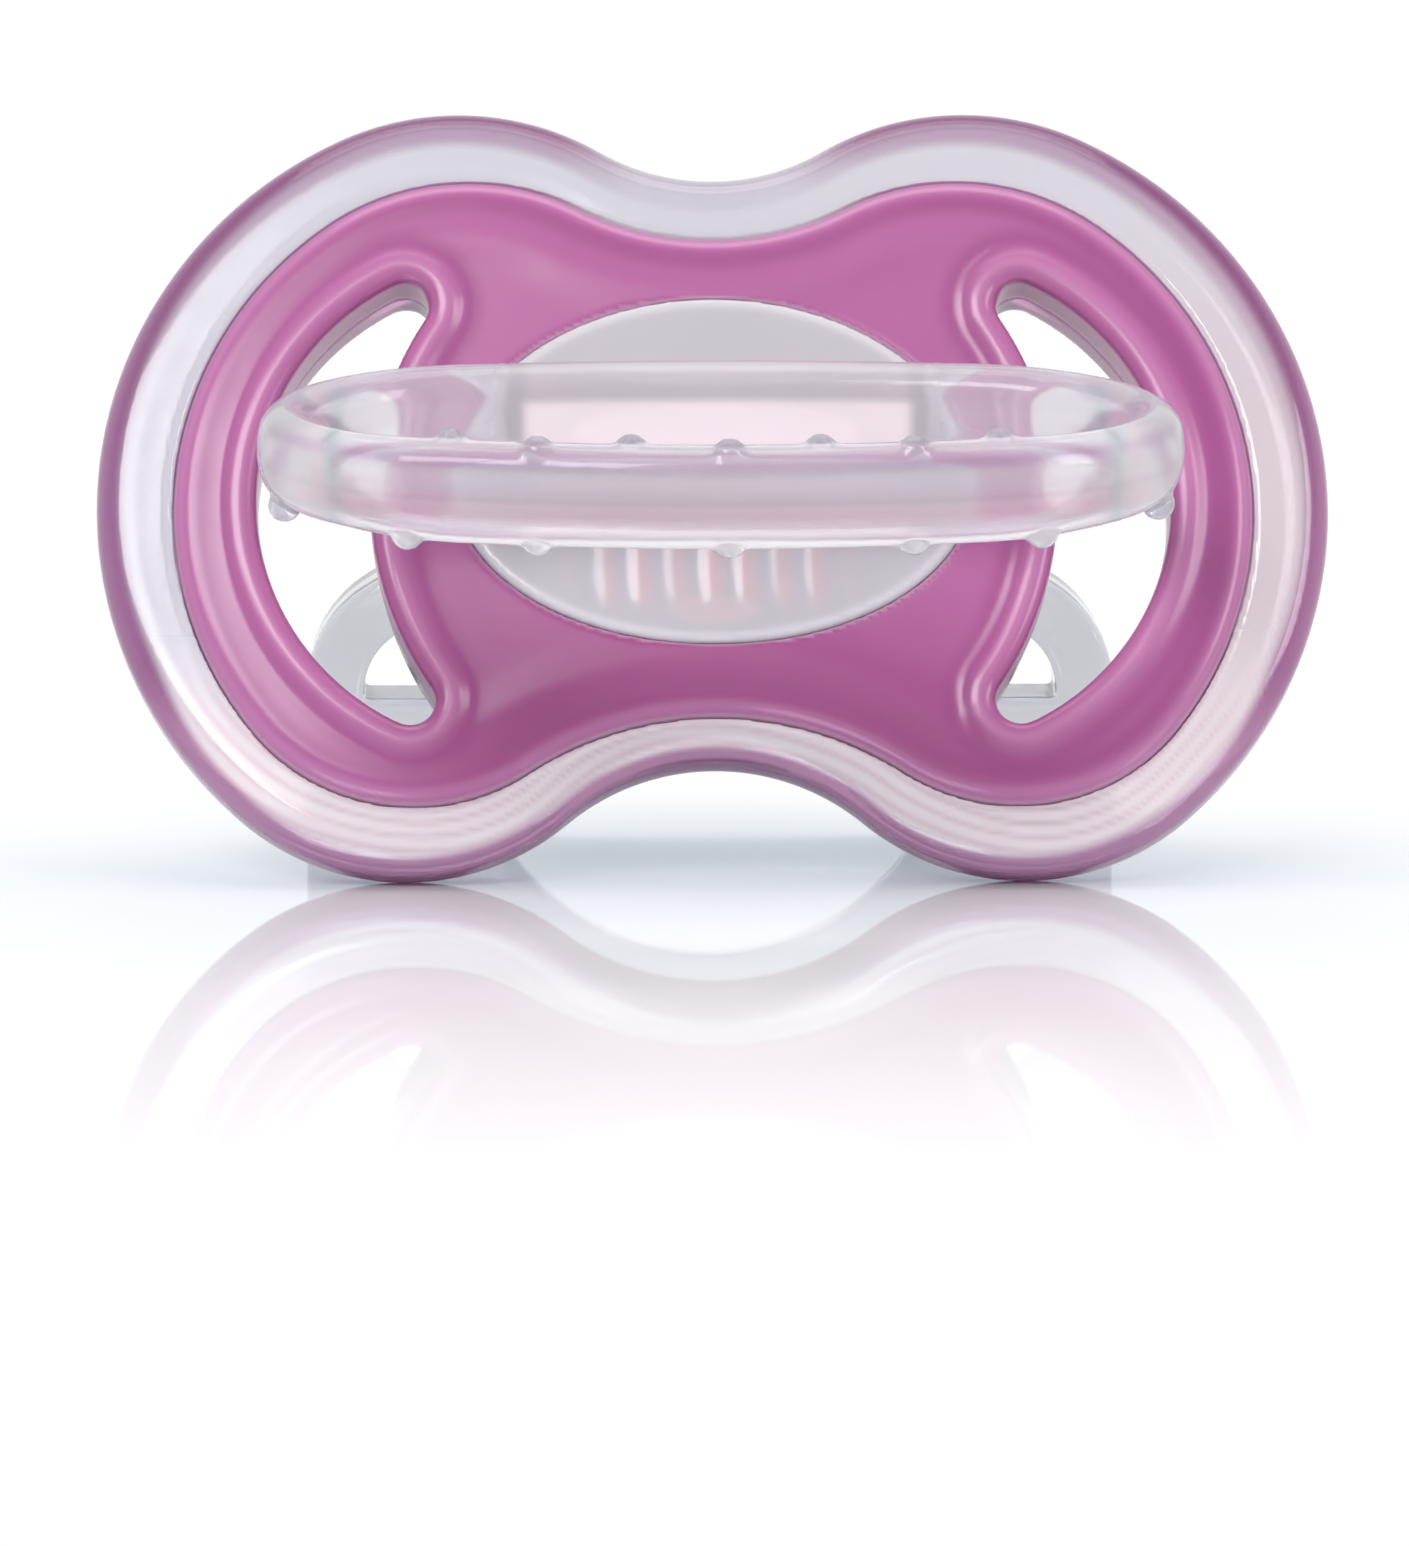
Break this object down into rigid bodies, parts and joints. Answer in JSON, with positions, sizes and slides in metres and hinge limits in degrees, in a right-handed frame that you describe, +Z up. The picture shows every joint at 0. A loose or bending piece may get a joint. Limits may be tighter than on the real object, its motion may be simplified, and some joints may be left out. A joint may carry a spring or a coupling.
{
  "type": "pacifier",
  "caption": "Infant pacifier with a closed oval teething loop, a two-lobed vented shield let into a clear base, and a swinging clear handle.",
  "frame": {"origin": "middle of the bounding box at floor level, under the pacifier as it stands on its shield and handle", "axes": "+X to the side, across the shield; +Y to the back, from the teething loop to the handle; +Z up"},
  "size_m": [0.06, 0.0408, 0.0364],
  "materials": {
    "clear_plastic": "clear gloss",
    "pink_plastic": "gloss",
    "silicone": "translucent satin",
    "pale_plastic": "satin"
  },
  "bodies": {
    "shield": {"shield_base": "clear_plastic", "shield_plate": "pink_plastic", "mouthpiece": "silicone", "neck_plug": "pale_plastic", "rear_cover": "clear_plastic"},
    "handle": {"handle": "clear_plastic"}
  },
  "joints": [
    {"name": "handle_hinge", "type": "hinge", "parent": "shield", "child": "handle", "pos_m": [0, 0.01673, 0.01615], "axis": [1, 0, 0], "range_deg": [-25, 150]}
  ]
}
